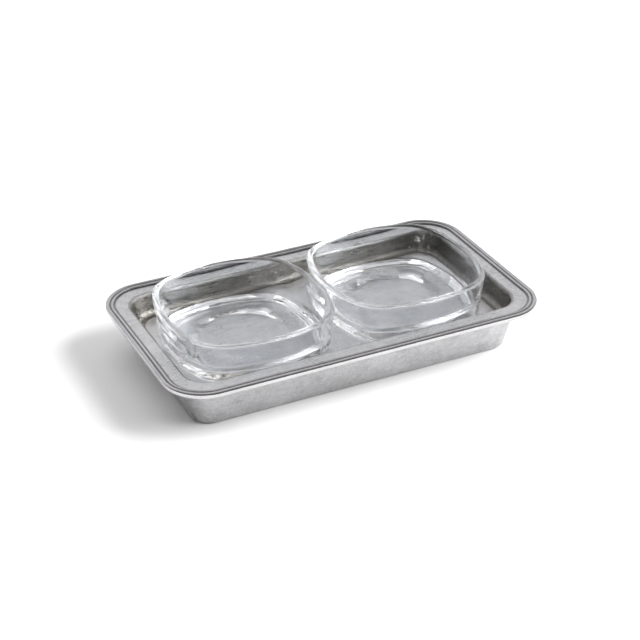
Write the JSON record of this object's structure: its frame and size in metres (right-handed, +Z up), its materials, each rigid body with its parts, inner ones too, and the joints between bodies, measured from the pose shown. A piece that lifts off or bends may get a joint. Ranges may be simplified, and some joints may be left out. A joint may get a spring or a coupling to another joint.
{
  "type": "chip and dip server",
  "caption": "Rectangular cast metal tray with a beaded rim and a shallow well over a hollow underside; shallow rounded-square clear glass bowls stand side by side in the well.",
  "frame": {"origin": "middle of the tray's outline, on the surface that its walls' lower edge stands on", "axes": "+X along the tray's length towards bowl_right, +Y across it towards the back, +Z up"},
  "size_m": [0.3, 0.171, 0.0538],
  "materials": {
    "cast_metal": "satin, hand finished, with polished beads",
    "clear_glass": "clear, fire polished"
  },
  "bodies": {
    "tray": {"tray": "cast_metal"},
    "bowl_left": {"bowl_left": "clear_glass"},
    "bowl_right": {"bowl_right": "clear_glass"}
  },
  "joints": [
    {"name": "bowl_left_lift", "type": "slide", "parent": "tray", "child": "bowl_left", "axis": [0, 0, 1], "range_m": [0, 0.04]},
    {"name": "bowl_right_lift", "type": "slide", "parent": "tray", "child": "bowl_right", "axis": [0, 0, 1], "range_m": [0, 0.04]}
  ]
}
